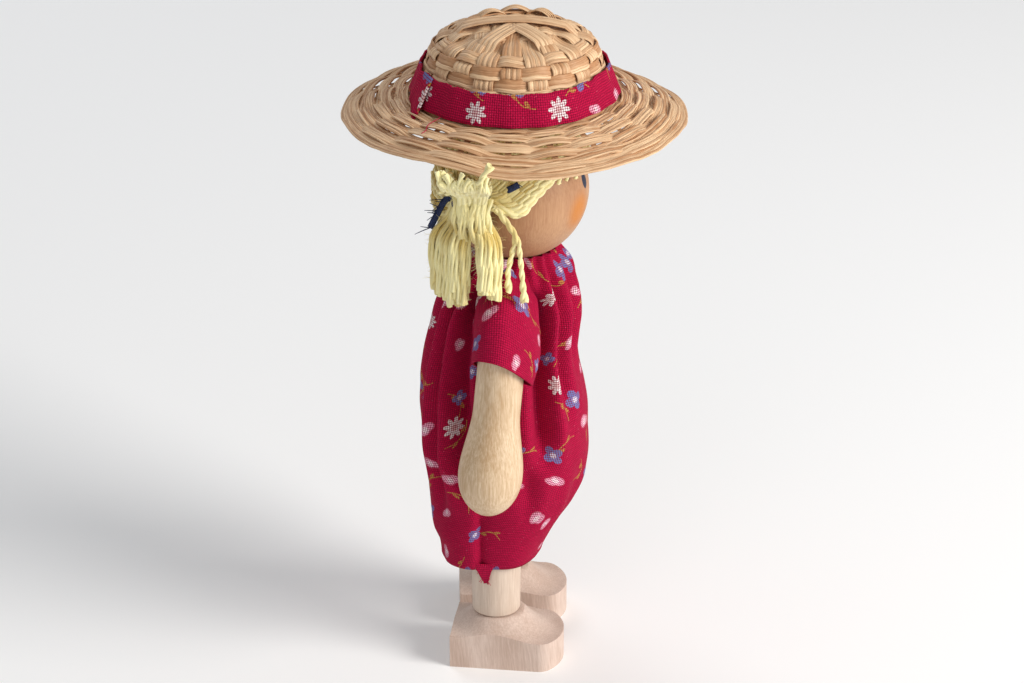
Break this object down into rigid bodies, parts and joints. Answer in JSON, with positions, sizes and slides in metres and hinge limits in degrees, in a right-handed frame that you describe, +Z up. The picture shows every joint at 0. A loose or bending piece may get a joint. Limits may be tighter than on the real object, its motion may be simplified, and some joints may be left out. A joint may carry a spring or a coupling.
{
  "type": "wooden doll",
  "caption": "Small turned-wood doll in a gathered floral dress and woven straw hat, with yarn pigtails, arms that swing and a head that turns, standing on flat shoes",
  "frame": {"origin": "on the floor below the neck and the hat's centre", "axes": "+Z up, the doll faces -Y, its right hand is on the -X side"},
  "size_m": [0.0676, 0.0676, 0.1335],
  "materials": {
    "shoe_wood": "bare sanded pinkish wood",
    "leg_wood": "bare pale dowel",
    "torso_wood": "bare wood",
    "peg_wood": "bare dowel",
    "head_wood": "oiled tan wood with painted eyes and cheeks",
    "arm_wood": "satin light maple",
    "dress_cotton": "crimson plain-weave cotton with a small floral print",
    "yarn": "pale yellow wool yarn",
    "ribbon": "dark blue ribbon, frayed ends",
    "cord": "off-white elastic cord",
    "thread": "red cotton thread",
    "straw": "natural woven straw splints"
  },
  "bodies": {
    "body": {"torso": "torso_wood", "leg_right": "leg_wood", "leg_left": "leg_wood", "shoe_right": "shoe_wood", "shoe_left": "shoe_wood", "dress_body": "dress_cotton", "neck_thread": "thread", "arm_cord": "cord"},
    "head": {"head": "head_wood", "neck_peg": "peg_wood", "hair_cap": "yarn", "pigtail_right": "yarn", "pigtail_left": "yarn", "ribbon_right": "ribbon", "ribbon_left": "ribbon", "straw_hat": "straw", "hat_band": "dress_cotton"},
    "right_arm": {"arm_right": "arm_wood", "sleeve_right": "dress_cotton"},
    "left_arm": {"arm_left": "arm_wood", "sleeve_left": "dress_cotton"}
  },
  "joints": [
    {"name": "head_turn", "type": "hinge", "parent": "body", "child": "head", "pos_m": [0, 0, 0.0842], "axis": [0, 0, 1], "range_deg": [-35, 35]},
    {"name": "right_arm_swing", "type": "hinge", "parent": "body", "child": "right_arm", "pos_m": [-0.01992, 0.0012, 0.0755], "axis": [-1, 0, 0], "range_deg": [-35, 95]},
    {"name": "left_arm_swing", "type": "hinge", "parent": "body", "child": "left_arm", "pos_m": [0.01992, 0.0012, 0.0755], "axis": [-1, 0, 0], "range_deg": [-35, 95]}
  ]
}
